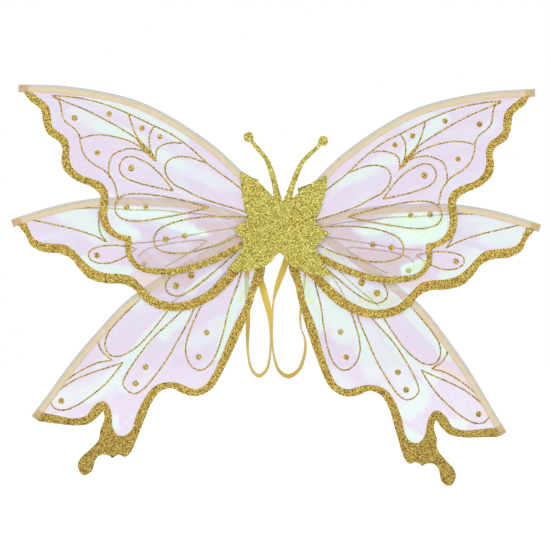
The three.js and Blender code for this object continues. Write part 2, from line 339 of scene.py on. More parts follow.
def core_foam():
    """Plain white foam with open pores."""
    s = Surface("core_foam", Specular_IOR_Level=0.2)
    pores = s.cells(s.place(), scale=1400, output="Distance")
    # Painted shade: the pores darker in their hollows, which the bump also follows.
    s.to("Base Color", s.ramp(pores, [(0.0, (0.62, 0.60, 0.55)), (0.35, (0.84, 0.82, 0.77))]))
    s.to("Roughness", s.between(pores, 0.95, 0.8))
    s.bump(pores, strength=0.9, distance=0.3 * MM)
    return s.material


def floor_paper():
    s = Surface("floor_paper", Emission_Strength=0.14, Emission_Color=(1, 1, 1, 1))
    grain = s.noise(s.place(), scale=300, detail=4)
    s.to("Base Color", s.ramp(grain, [(0.3, (0.86, 0.86, 0.86)), (0.7, (0.90, 0.90, 0.90))]))
    s.to("Roughness", s.between(grain, 0.7, 0.9))
    return s.material


FOAM = glitter("glitter_foam", [
    (0.08, 0.062, 0.003), (0.22, 0.183, 0.018), (0.44, 0.380, 0.050),
    (0.64, 0.570, 0.090), (0.88, 0.805, 0.19), (1.0, 0.97, 0.42),
], patch=(1.0, 0.93, 0.84))
PRINT = glitter("glitter_print", [
    (0.055, 0.027, 0.001), (0.185, 0.114, 0.009), (0.41, 0.278, 0.031),
    (0.61, 0.435, 0.063), (0.87, 0.665, 0.14), (1.0, 0.90, 0.36),
], patch=(1.0, 0.90, 0.76), low_shade=(0.84, 0.80, 0.80))
SLEEVE = sleeve_film()
BONING = boning()
ELASTIC = elastic()
THREAD = thread()
CORE = core_foam()


# Mesh helpers --------------------------

NO_LENGTH = 1e-9
NO_RISE = 1e-12
SAME_PLACE = 1e-6
SAME_CORNER = 1e-7
SQUARE_ON = 0.9  # the least part of a unit normal that points to the front or the back on a flat face
CORNER = math.radians(38)
ROW_GAP = 0.866  # the height of an even triangle, in its sides
EDGE_GAP = 0.55  # between the grid and the fixed points, in spacings

def add_piece(name, points, faces, material, uv=None):
    mesh = bpy.data.meshes.new(name)
    mesh.from_pydata([tuple(p) for p in points], [], [tuple(f) for f in faces])
    mesh.materials.append(material)
    mesh.shade_smooth()
    if uv is not None:
        layer = mesh.uv_layers.new(name="UVMap")
        for loop in mesh.loops:
            layer.data[loop.index].uv = uv[loop.vertex_index]
    made = bpy.data.objects.new(name, mesh)
    bpy.context.scene.collection.objects.link(made)
    return made


def tube_faces(start, rings, sides):
    """The faces of a closed tube: rings of so many points each, the first of them at start, and both ends."""
    faces = []
    for i in range(rings - 1):
        for k in range(sides):
            a, b = start + i * sides + k, start + i * sides + (k + 1) % sides
            faces.append((a, b, b + sides, a + sides))
    last = start + (rings - 1) * sides
    faces.append(tuple(range(start, start + sides))[::-1])
    faces.append(tuple(range(last, last + sides)))
    return faces


def spline(points, steps):
    """A smooth line through the points (centripetal Catmull-Rom), with so many steps from one to the next."""
    points = np.asarray(points, float)
    run = np.vstack([2 * points[0] - points[1], points, 2 * points[-1] - points[-2]])
    gap = np.maximum(np.linalg.norm(np.diff(run, axis=0), axis=1), NO_LENGTH) ** 0.5
    line = []
    for i in range(1, len(run) - 2):
        a, b, c, d = run[i - 1 : i + 3]
        before, here, after = gap[i - 1 : i + 2]
        out = here * ((b - a) / before - (c - a) / (before + here) + (c - b) / here)
        into = here * ((c - b) / here - (d - b) / (here + after) + (d - c) / after)
        for k in range(steps):
            t = k / steps
            line.append((1 + t * t * (2 * t - 3)) * b + t * (1 - t) ** 2 * out
                        + t * t * (3 - 2 * t) * c + t * t * (t - 1) * into)
    line.append(points[-1])
    return np.array(line)


def run_lengths(line):
    """How far along the line each of its points is."""
    return np.concatenate([[0], np.cumsum(np.linalg.norm(np.diff(line, axis=0), axis=1))])


def even(line, step):
    """The same line with its points an even distance apart, about one step."""
    lengths = run_lengths(line)
    at = np.linspace(0, lengths[-1], max(2, round(lengths[-1] / step) + 1))
    return np.column_stack([np.interp(at, lengths, line[:, k]) for k in range(line.shape[1])])


def left_of(line):
    """At each point of a flat line, the unit direction to the left of its heading."""
    heading = np.gradient(line, axis=0)
    heading /= np.linalg.norm(heading, axis=1)[:, None]
    return np.column_stack([-heading[:, 1], heading[:, 0]])


def turned(flat, angle):
    """Flat points turned clockwise, as seen from the front."""
    c, s = math.cos(angle), math.sin(angle)
    x, z = np.asarray(flat, float).T
    return np.column_stack([x * c + z * s, z * c - x * s])


def inside(points, loop):
    """Which of the flat points lie in the closed loop."""
    x, y = points[:, 0:1], points[:, 1:2]
    a, b = loop, np.roll(loop, -1, axis=0)
    crosses = (a[:, 1] > y) != (b[:, 1] > y)
    rise = np.where(b[:, 1] == a[:, 1], NO_RISE, b[:, 1] - a[:, 1])
    at = a[:, 0] + (y - a[:, 1]) * (b[:, 0] - a[:, 0]) / rise
    return (crosses & (x < at)).sum(axis=1) % 2 == 1


def nearest(points, line):
    """Each point's distance to the closest point of a fine line."""
    return np.linalg.norm(points[:, None, :] - line[None, :, :], axis=2).min(axis=1)


def smoothstep(value, low, high):
    t = np.clip((value - low) / (high - low), 0, 1)
    return t * t * (3 - 2 * t)


def face_rim(node, facing):
    """The outline of a flat CAD node's face towards -Y or +Y, as ordered [x, z] points."""
    mesh = bmesh.new()
    mesh.from_mesh(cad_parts[node].data)
    bmesh.ops.remove_doubles(mesh, verts=mesh.verts, dist=SAME_PLACE)
    beside = {}
    for edge in mesh.edges:
        if sum(face.normal.y * facing > SQUARE_ON for face in edge.link_faces) == 1:
            for one, other in (edge.verts, reversed(edge.verts)):
                beside.setdefault(one.index, []).append(other.index)
    places = {v.index: (v.co.x, v.co.z) for v in mesh.verts}
    mesh.free()
    first = next(iter(beside))
    order = [first, beside[first][0]]
    while order[-1] != first:
        order.append(next(i for i in beside[order[-1]] if i != order[-2]))
    return np.array([places[i] for i in order[:-1]])


def rounded(loop, steps=3):
    """A closed outline made finer and smooth, with its sharp corners kept."""
    ahead = np.roll(loop, -1, axis=0) - loop
    behind = loop - np.roll(loop, 1, axis=0)
    turn = np.arctan2(behind[:, 0] * ahead[:, 1] - behind[:, 1] * ahead[:, 0], (behind * ahead).sum(axis=1))
    corners = [i for i in range(len(loop)) if abs(turn[i]) > CORNER] or [0]
    made = []
    for i, start in enumerate(corners):
        end = corners[(i + 1) % len(corners)]
        count = (end - start) % len(loop) or len(loop)
        run = [loop[(start + k) % len(loop)] for k in range(count + 1)]
        made.extend((spline(run, steps) if count > 1 else np.array(run))[:-1])
    return np.array(made)


def fill(outline, spacing, lines=()):
    """Fine triangles over an outline, with edges along the given lines. Returns flat points and triangles."""
    points = [Vector(p) for p in outline]
    edges = [(i, (i + 1) % len(points)) for i in range(len(points))]
    for line in lines:
        edges += [(len(points) + i, len(points) + i + 1) for i in range(len(line) - 1)]
        points += [Vector(p) for p in line]
    low, high = outline.min(axis=0), outline.max(axis=0)
    columns = np.arange(low[0], high[0], spacing)
    rows = np.arange(low[1], high[1], spacing * ROW_GAP)
    grid = np.array([(x + (k % 2) * spacing / 2, y) for k, y in enumerate(rows) for x in columns])
    grid = grid[inside(grid, outline)]
    fixed = np.array([tuple(p) for p in points])
    grid = grid[nearest(grid, fixed) > EDGE_GAP * spacing]
    made = delaunay_2d_cdt(points + [Vector(p) for p in grid], edges, [], 0, SAME_CORNER)
    flat = np.array([tuple(p) for p in made[0]])
    triangles = np.array([face for face in made[2] if len(face) == 3])
    return flat, triangles[inside(flat[triangles].mean(axis=1), outline)]


def rim_points(triangles):
    """The points on the edge of a patch of triangles."""
    seen = {}
    for triangle in triangles:
        for a, b in zip(triangle, np.roll(triangle, -1)):
            edge = (min(a, b), max(a, b))
            seen[edge] = seen.get(edge, 0) + 1
    return {i for edge, count in seen.items() if count == 1 for i in edge}


def upright(flat, y):
    """Flat [x, z] points stood up in the X-Z plane at the given y."""
    return np.column_stack([flat[:, 0], np.broadcast_to(y, len(flat)), flat[:, 1]])


# Straps --------------------------------

STRAP_WIDTH = 10 * MM
STRAP_THICKNESS = 1 * MM
STRAP_WAVE = 0.12 * MM
STRAP_WAVES = 60  # to a metre
STRAP_SEED = {"left": 0, "right": 9}
SEWN_Y = 0.8
# Each point of a route is [x, y, z, twist] in millimetres and degrees, as the CAD has it.
ROUTES = {
    "left": [
        [-3, SEWN_Y, 30, 0], [-14, SEWN_Y, 29, 0], [-27, 4, 23, 5], [-39, 10, 8, 20],
        [-47, 15, -16, 38], [-51, 18, -45, 44], [-52, 19, -78, 44], [-51, 19, -112, 42],
        [-50.5, 18, -140, 48], [-51, 17, -168, 64], [-49.5, 16, -192, 74], [-44, 15, -212, 64],
        [-33.5, 14, -220.5, 52], [-22, 13, -211, 66], [-17, 12, -190, 76], [-15.5, 11, -168, 74],
        [-15.5, 11, -146, 60], [-18, 11, -124, 35], [-23, 10, -105, 12], [-28, 10, -86, 0],
        [-33, 9, -68, 0], [-35, 7, -51, 0], [-31, 4, -37, 0], [-19, SEWN_Y, -30, 0], [-6, SEWN_Y, -27, 0],
    ],
    "right": [
        [3, SEWN_Y, 31, 0], [14, SEWN_Y, 31, 0], [26, 4, 26, 5], [34, 9, 12, 20],
        [38, 13, -10, 40], [38, 15, -40, 60], [36, 16, -72, 72], [33, 16, -98, 80],
        [30, 16, -120, 72], [29, 16, -136, 76], [31, 16, -150, 82], [35.5, 16, -162, 78],
        [37, 16, -176, 70], [34, 17, -195, 66], [26.5, 18, -212, 62], [11, 19, -221.5, 50],
        [-3, 20, -213, 66], [-10.5, 22, -192, 76], [-13.5, 24, -166, 78], [-13.5, 24, -136, 74],
        [-11.5, 22, -108, 78], [-6, 18, -85, 40], [1.5, 12, -64, 10], [7.5, 4, -47, 0],
        [12, SEWN_Y, -34, 0], [15.5, SEWN_Y, -23, 0],
    ],
}
# The band's section as shares of half its width and half its thickness: a thin woven edge down each side.
STRAP_FRONT = [
    (1, 0.35), (0.93, 0.85), (0.82, 0.8), (0.45, 1), (0, 0.95), (-0.45, 1), (-0.82, 0.8), (-0.93, 0.85),
    (-1, 0.35),
]
STRAP_SECTION = STRAP_FRONT + [(-across, -up) for across, up in STRAP_FRONT]


def strap_frames(route):
    """The strap's centreline and, at each of its points, the directions of its width and its face."""
    line = spline([point[:3] for point in route], steps=6) * MM
    twists = np.interp(np.linspace(0, len(route) - 1, len(line)), range(len(route)), [p[3] for p in route])
    frames = []
    for tangent, twist in zip(np.gradient(line, axis=0), twists):
        tangent = Vector(tangent).normalized()
        flat = Vector((0, 1, 0)).cross(tangent).normalized()
        turn = math.radians(twist)
        width = flat * math.cos(turn) + tangent.cross(flat) * math.sin(turn)
        frames.append((width, tangent.cross(width)))
    return line, frames


def make_strap(side):
    line, frames = strap_frames(ROUTES[side])
    points, uv = [], []
    for centre, (width, out), along in zip(line, frames, run_lengths(line)):
        for across, up in STRAP_SECTION:
            wave = noise.noise((along * STRAP_WAVES, across, STRAP_SEED[side])) * STRAP_WAVE
            points.append(Vector(centre) + width * (across * STRAP_WIDTH / 2)
                          + out * (up * STRAP_THICKNESS / 2 + wave))
            uv.append((along, across * STRAP_WIDTH / 2))
    faces = tube_faces(0, len(line), len(STRAP_SECTION))
    strap = add_piece(f"{side}_strap_band", points, faces, ELASTIC, uv)
    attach(strap, "centre")
    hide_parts(f"{side}_strap")


STITCHES = 13
TACK_WIDTH = 7.4 * MM
STITCH_LENGTH = 1.5 * MM
STITCH_LEAN = 0.25 * MM
STITCH_RISE = 0.45 * MM
STITCH_SINK = 0.35 * MM
STITCH_RINGS = 7
THREAD_SIDES = 6
THREAD_RADIUS = 0.22 * MM


def make_tack(name, end, beyond):
    """A bar of close stitches across the sewn end of a strap. Each is an arch, with a slight lean."""
    low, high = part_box(name)
    along = Vector((beyond[0] - end[0], 0, beyond[2] - end[2])).normalized()
    across = Vector((-along.z, 0, along.x))
    up = Vector((0, 1, 0))
    points, faces = [], []
    for i in range(STITCHES):
        middle = (low + high) / 2 + across * ((i / (STITCHES - 1) - 0.5) * TACK_WIDTH)
        lean = across * (STITCH_LEAN * (-1) ** i)
        faces += tube_faces(len(points), STITCH_RINGS, THREAD_SIDES)
        for k in range(STITCH_RINGS):
            t = k / (STITCH_RINGS - 1) - 0.5
            rise = STITCH_RISE * math.cos(t * math.pi) - STITCH_SINK
            at = middle + along * (STITCH_LENGTH * t) + lean * (2 * t) + up * rise
            for j in range(THREAD_SIDES):
                turn = 2 * math.pi * j / THREAD_SIDES
                points.append(at + (across * math.cos(turn) + up * math.sin(turn)) * THREAD_RADIUS)
    tack = add_piece(f"{name}_stitches", points, faces, THREAD)
    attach(tack, "centre")
    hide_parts(name)


for side, route in ROUTES.items():
    make_strap(side)
    make_tack(f"{side}_upper_tack", route[0], route[1])
    make_tack(f"{side}_lower_tack", route[-1], route[-2])


# Wings ---------------------------------

# Everything printed on a wing is drawn as the CAD draws it, root at the left, [outward, up] in
# millimetres. The right wings are mirror images of the left, turned (degrees) and shifted.
# root: where the film's folds fan out from. depth: how far they stand out. folds: how many in a full turn.
# flat and area: the film laid flat, in metres.
# border: the inner edge of the wide border from tip to root. It turns a corner where border_2 starts.
# open: closes that edge to a loop round the part with no border. lines: smooth runs of LINE_WIDTH.
# blades: (width, run). dots: (outward, up, radius).
WINGS = {}
WINGS["upper"] = {
    "turn": -1.5, "shift": (-7.5, -17), "root": (30, 30), "depth": 2.2, "folds": 17, "seed": 1,
    "flat": (0.364, 0.284), "area": 0.0572,
    "border": [
        (372, 204), (361, 196), (350, 185), (346, 170), (345, 157), (338, 149), (325, 140), (319, 128),
        (319, 110), (315, 95), (303, 83), (284, 76), (270, 70), (261, 58), (260, 44), (262, 24),
        (258, 8), (250, -2), (239, -8), (226, -10),
    ],
    "border_2": [
        (226, -10), (225, -20), (226, -30), (222, -43), (210, -54), (190, -58), (155, -57), (130, -51),
        (104, -41), (80, -29), (50, -12), (20, 4),
    ],
    "open": [(0, 20), (0, 80), (60, 125), (150, 200), (270, 240), (400, 240)],
    "lines": [
        [(344, 202), (317, 200), (287, 195), (257, 186), (230, 175), (190, 156), (167, 145), (137, 124),
         (107, 97), (77, 75), (52, 55)],
        [(343, 201), (325, 193), (295, 181), (265, 166), (227, 144), (212, 133), (197, 118), (187, 102)],
        [(343, 200), (335, 196), (331, 188), (328, 170), (322, 161), (310, 152), (303, 142), (301, 128),
         (295, 112), (282, 99), (268, 91), (258, 82), (250, 69), (245, 48)],
        [(302, 137), (290, 141), (272, 143), (250, 140), (227, 133), (212, 125), (189, 106)],
        [(257, 77), (259, 87), (258, 101), (253, 112), (245, 117), (230, 122), (212, 120), (202, 116),
         (187, 103)],
        [(162, 59), (178, 80), (197, 98), (208, 104), (222, 110), (234, 109), (242, 99), (242, 88),
         (233, 78), (212, 70), (197, 66), (162, 59)],
        [(229, 175), (226, 164), (220, 147), (212, 134), (202, 122), (188, 104)],
        [(190, 157), (197, 144), (198, 130), (196, 120), (189, 106)],
        [(188, 106), (187, 120), (179, 127), (165, 131), (148, 130)],
        [(110, 100), (122, 104), (137, 109), (154, 110), (167, 106), (174, 96), (172, 82), (160, 68),
         (148, 62), (122, 49), (92, 39), (62, 30), (48, 24)],
        [(109, 34), (145, 44), (175, 50), (205, 54), (227, 54), (240, 50), (248, 40), (249, 28),
         (242, 19), (227, 14), (205, 14), (175, 19), (140, 26), (109, 34)],
        [(47, 20), (77, 20), (107, 20), (130, 18), (152, 14), (170, 8), (184, 0), (191, -14), (187, -27),
         (175, -33), (158, -35), (140, -34), (115, -28), (90, -20), (56, -4)],
    ],
    "blades": [(5.5, [(218, 139), (205, 124), (190, 104)])],
    "dots": [
        (310, 168, 4.6), (258, 174, 4.2), (209, 153, 4.2), (182, 140, 4.0), (276, 116, 4.2),
        (225, 93, 5.0), (232, 34, 4.2), (203, 34, 3.8), (173, -14, 4.8), (145, -9, 4.2),
    ],
}
WINGS["middle"] = {
    "turn": -0.8, "shift": (-15, -13), "root": (20, -20), "depth": 1.6, "folds": 15, "seed": 2,
    "flat": (0.363, 0.169), "area": 0.0406,
    "border": [
        (384, 10), (380, 2), (374, -11), (362, -19), (342, -21), (322, -24), (311, -32), (300, -44),
        (284, -58), (266, -65), (239, -67), (224, -71), (212, -82), (194, -100), (179, -107),
        (157, -110), (137, -106), (113, -94), (92, -76), (70, -54), (40, -26),
    ],
    "border_2": [],
    "open": [(0, 0), (20, 40), (120, 80), (260, 90), (420, 60)],
    "lines": [
        [(377, 16), (340, 8), (310, 1), (280, -9), (262, -18)],
        [(274, 28), (274, 8), (271, -6), (262, -18)],
        [(217, -28), (235, -24), (257, -23), (277, -26), (288, -32), (289, -41), (280, -48), (262, -50),
         (240, -43), (217, -28)],
        [(215, -40), (206, -31), (193, -26), (160, -19), (112, -16), (130, -29), (160, -47), (175, -55)],
        [(380, 16), (352, 24), (329, 30), (305, 32.5), (275, 33.5), (223, 30.5), (178, 29.5), (148, 26),
         (110, 23), (75, 16)],
        [(226, -20), (197, -18), (145, -9), (100, -1), (60, 5)],
        [(167, -70), (173, -80), (173, -90), (166, -97), (154, -99), (140, -93), (122, -81), (100, -62),
         (67, -33)],
    ],
    "blades": [],
    "dots": [(277, -38, 4.6), (206, -51, 4.4), (158, -84, 5.0), (135, -68, 5.2)],
}
WINGS["lower"] = {
    "turn": 5.6, "shift": (-7, 11), "root": (20, -10), "depth": 1.8, "folds": 19, "seed": 3,
    "flat": (0.349, 0.380), "area": 0.0537,
    "border": [
        (366, -274), (340, -279), (312, -284), (293, -280), (281, -265), (268, -258), (260, -264),
        (256, -278), (254, -298), (246, -309), (233, -309), (223, -298), (218, -281), (205, -254),
        (192, -237), (175, -230), (155, -231), (130, -240), (114, -234), (100, -213), (90, -191),
        (71, -145), (56, -116), (46, -85), (36, -52), (30, -30),
    ],
    "border_2": [],
    "open": [(0, -20), (0, 30), (60, 40), (240, -60), (400, -240)],
    "lines": [
        [(213, -104), (228, -119), (249, -140), (262, -158), (265, -174), (259, -187), (245, -190),
         (228, -183), (211, -170), (192, -149), (171, -122)],
        [(274, -158), (275, -170), (269, -183), (254, -196)],
        [(254, -196), (274, -199), (293, -207), (312, -218), (328, -230)],
        [(274, -159), (291, -178), (314, -203), (335, -233)],
        [(238, -199), (258, -206), (283, -214), (308, -224), (329, -237), (342, -248), (347, -258),
         (341, -268), (327, -271), (308, -264), (287, -250), (262, -229), (238, -199)],
        [(150, -122), (171, -142), (192, -161), (213, -187), (230, -212), (238, -231), (231, -242),
         (220, -246), (207, -239), (192, -222), (171, -193), (154, -163), (140, -138), (131, -118)],
        [(121, -115), (131, -136), (140, -159), (144, -180), (140, -197), (131, -208), (120, -211),
         (108, -203), (98, -187), (87, -153), (79, -119), (65, -80), (54, -45)],
        [(166, -110), (120, -78), (80, -45)],
        [(118, -108), (98, -80), (62, -40)],
    ],
    "blades": [],
    "dots": [(331, -257, 4.6), (204, -206, 4.6), (219, -231, 4.6), (112, -154, 4.4), (124, -191, 4.4)],
}

# Where each film turns away from lilac: (reach to either side in mm, colour, smooth run of [x, z] in mm). The
# colours are shares of the way from peach, over lilac at a half, to green.
PEACH, PINK, WHITE, MINT, JADE, GREEN = 0.0, 0.16, 0.62, 0.80, 0.90, 1.0
STREAKS = {}
STREAKS["left_upper"] = [
    (7, MINT, [(-288, 200), (-245, 186), (-212, 171), (-190, 159), (-168, 147), (-146, 135)]),
    (10, WHITE, [(-312, 182), (-290, 169), (-262, 154), (-240, 146), (-210, 135)]),
    (6, MINT, [(-275, 158), (-258, 151), (-232, 145)]),
    (9, WHITE, [(-190, 114), (-165, 102), (-145, 93), (-122, 82), (-92, 71), (-72, 64)]),
    (5, MINT, [(-184, 112), (-160, 101), (-146, 95)]),
    (9, JADE, [(-259, 46), (-257, 28), (-250, 8), (-238, 0), (-222, -6)]),
    (11, JADE, [(-242, 30), (-212, 27), (-182, 24), (-152, 20)]),
    (7, JADE, [(-166, 11), (-140, 3), (-112, -4)]),
    (14, PINK, [(-205, -46), (-180, -46), (-150, -44), (-120, -36)]),
    (8, PINK, [(-120, 8), (-96, 4), (-70, 8)]),
    (7, PINK, [(-128, -20), (-100, -14), (-72, -2)]),
    (9, MINT, [(-238, 4), (-228, -8)]),
]
STREAKS["left_middle"] = [
    (13, MINT, [(-238, 28), (-215, 22), (-190, 18), (-162, 14)]),
    (8, MINT, [(-240, 0), (-226, -8)]),
    (7, MINT, [(-142, -2), (-120, -6)]),
    (15, MINT, [(-322, 24), (-300, 18), (-284, 6), (-274, -4)]),
    (9, MINT, [(-296, -46), (-275, -57), (-250, -62), (-226, -66)]),
    (10, PINK, [(-215, -72), (-195, -78)]),
    (9, PINK, [(-186, -88), (-172, -76), (-150, -72), (-140, -78)]),
    (5, GREEN, [(-138, -92), (-118, -76), (-96, -62)]),
]
STREAKS["left_lower"] = [
    (8, MINT, [(-160, -122), (-190, -148), (-214, -176), (-238, -204), (-262, -228)]),
    (13, WHITE, [(-340, -258), (-312, -250), (-285, -240), (-262, -236)]),
    (7, MINT, [(-290, -255), (-268, -240), (-256, -224)]),
    (13, WHITE, [(-128, -168), (-106, -156), (-92, -140)]),
    (6, JADE, [(-92, -188), (-88, -168), (-80, -140), (-70, -112), (-60, -92)]),
    (6, MINT, [(-215, -108), (-240, -119), (-258, -140), (-276, -154), (-284, -168)]),
    (6, MINT, [(-142, -124), (-152, -136), (-168, -148), (-178, -160)]),
    (6, WHITE, [(-262, -192), (-276, -204)]),
    (6, MINT, [(-236, -240), (-246, -228)]),
    (5, GREEN, [(-60, -108), (-55, -90), (-52, -76)]),
    (5, PEACH, [(-56, -65), (-48, -67)]),
    (5, MINT, [(-248, -296), (-250, -282)]),
    (6, WHITE, [(-218, -236), (-206, -222), (-196, -206)]),
]
STREAKS["right_upper"] = [
    (6, WHITE, [(185, 158), (210, 168), (232, 170)]),
    (7, MINT, [(180, 112), (198, 128), (216, 142), (232, 156), (246, 168)]),
    (10, WHITE, [(72, 62), (94, 74), (118, 84), (142, 96), (160, 106), (172, 110)]),
    (6, MINT, [(90, 72), (118, 84), (150, 102), (168, 106)]),
    (8, WHITE, [(310, 152), (318, 160)]),
    (14, JADE, [(162, 22), (190, 24), (216, 20), (238, 14), (246, -2)]),
    (15, JADE, [(190, -8), (212, -8), (232, -10)]),
    (8, JADE, [(112, -2), (134, 2), (156, 6), (178, 10)]),
    (12, PINK, [(80, -2), (96, -8), (112, -18)]),
    (9, PINK, [(118, -32), (150, -40), (180, -42), (208, -34)]),
    (11, PINK, [(142, -50), (162, -58), (182, -62)]),
    (8, GREEN, [(188, -60), (206, -54), (220, -46)]),
    (7, GREEN, [(66, -34), (90, -42), (116, -52), (136, -60)]),
    (6, GREEN, [(68, 14), (90, 20)]),
    (7, PINK, [(118, 14), (140, 22), (160, 28)]),
]
STREAKS["right_middle"] = [
    (15, JADE, [(156, 16), (184, 14), (212, 12), (236, 6)]),
    (9, JADE, [(128, -2), (150, -6), (176, -8), (204, -8), (226, -8)]),
    (8, JADE, [(186, -60), (208, -54)]),
    (9, JADE, [(118, -92), (140, -98)]),
    (12, WHITE, [(276, -36), (296, -44), (284, -58)]),
    (14, WHITE, [(272, 4), (298, 10), (322, 8)]),
    (14, MINT, [(308, -8), (330, -10), (352, -6)]),
    (8, MINT, [(292, -38), (284, -54), (262, -66), (244, -70)]),
    (18, GREEN, [(74, -70), (104, -90), (134, -106), (156, -112)]),
    (12, MINT, [(86, -74), (112, -88)]),
    (8, PINK, [(184, -84), (202, -82), (218, -72)]),
    (9, GREEN, [(182, -96), (172, -104)]),
]
STREAKS["right_lower"] = [
    (8, JADE, [(42, -84), (50, -112), (60, -142)]),
    (5, GREEN, [(36, -76), (38, -92), (43, -108)]),
    (4, PEACH, [(33, -66), (40, -68), (44, -76)]),
    (16, MINT, [(74, -108), (84, -130), (94, -154)]),
    (14, WHITE, [(122, -176), (130, -196), (136, -216)]),
    (7, MINT, [(116, -150), (124, -180), (134, -204)]),
    (15, WHITE, [(142, -146), (160, -176), (180, -210), (190, -242)]),
    (6, MINT, [(188, -122), (208, -142), (228, -162), (242, -184)]),
    (14, MINT, [(212, -240), (204, -262), (188, -272)]),
    (5, MINT, [(222, -208), (236, -220)]),
    (7, MINT, [(150, -140), (160, -156), (176, -178), (192, -196), (212, -214), (228, -226)]),
    (6, JADE, [(244, -178), (252, -190)]),
    (6, WHITE, [(80, -216), (100, -236)]),
    (7, MINT, [(258, -290), (272, -294)]),
    (6, MINT, [(276, -206), (288, -222), (294, -236)]),
    (9, MINT, [(190, -306), (204, -314)]),
    (6, PINK, [(232, -206), (256, -214), (280, -236)]),
]

BODY = {"left": "left_wings", "right": "right_wings"}
BEHIND = {"upper": ["middle", "lower"], "middle": ["lower"], "lower": []}
LILAC = 0.5
STRIP_BEHIND = 0.03  # the film's colour painted where another wing's sleeve lies behind it: painted light standing in for the lit sleeve seen through
STRIP_REACH = (9 * MM, 5 * MM)  # from its middle: where it starts to show, and where it shows fully
DOUBLED_EDGE = (-1 * MM, 2 * MM)  # inward from the outline behind: where doubled starts, and where it is 1
STREAK_CORE = 0.5  # the share of a streak's reach that has its full colour, and it is gone at 1.5
TRACE_STEP = 2 * MM
FILM_SPACING = 3.2 * MM
# What is printed on the film, in the drawing's millimetres.
LINE_WIDTH = 2.35
LINE_HEIGHT = 0.40
LINE_STEP = 2.4
LINE_TIP = 1.6  # the length of a line's pointed ends, in its widths
LINE_SWELL = 0.28
LINE_SWELLS = 0.55  # to one step
BORDER_HEIGHT = 0.22
BORDER_STEP = 3
BORDER_SPREAD = 0.8  # how far the glitter spreads past the inner line
PRINT_GAP = 0.03  # from the film to the print's rim
DOT_HEIGHT = 0.55
DOT_WOBBLE = 0.05
DOT_WOBBLES = 2
RIM_ANGLE = math.radians(12)
# The film's ripples, in radians round the root and millimetres from it: folds that swing as they go out.
RIPPLE_PHASE = {"left": 0.4, "right": 2.1}
SLOW_SWING, SLOW_REACH = 1.1, 58
FAST_SWING, FAST_REACH = 0.5, 23
BROAD_FOLDS, BROAD_REACH = 5, 90
FOLD_SHARE = 0.55  # of the depth, and the broad folds have the rest
ROOT_FADE = (70, 150)
SPAR_FADE = (8, 34)
SPAR_STEP = 4


def sleeve_line(name):
    """A sleeve's centreline, root to tip, half way between its flat face's two long edges."""
    rim = face_rim(f"{name}_sleeve", -1)
    count = len(rim)
    root = min(range(count), key=lambda i: abs((rim[i] + rim[(i + 1) % count])[0]))
    pairs = [(rim[(root - k) % count], rim[(root + 1 + k) % count]) for k in range(count // 2)]
    return np.array([(one + other) / 2 for one, other in pairs])


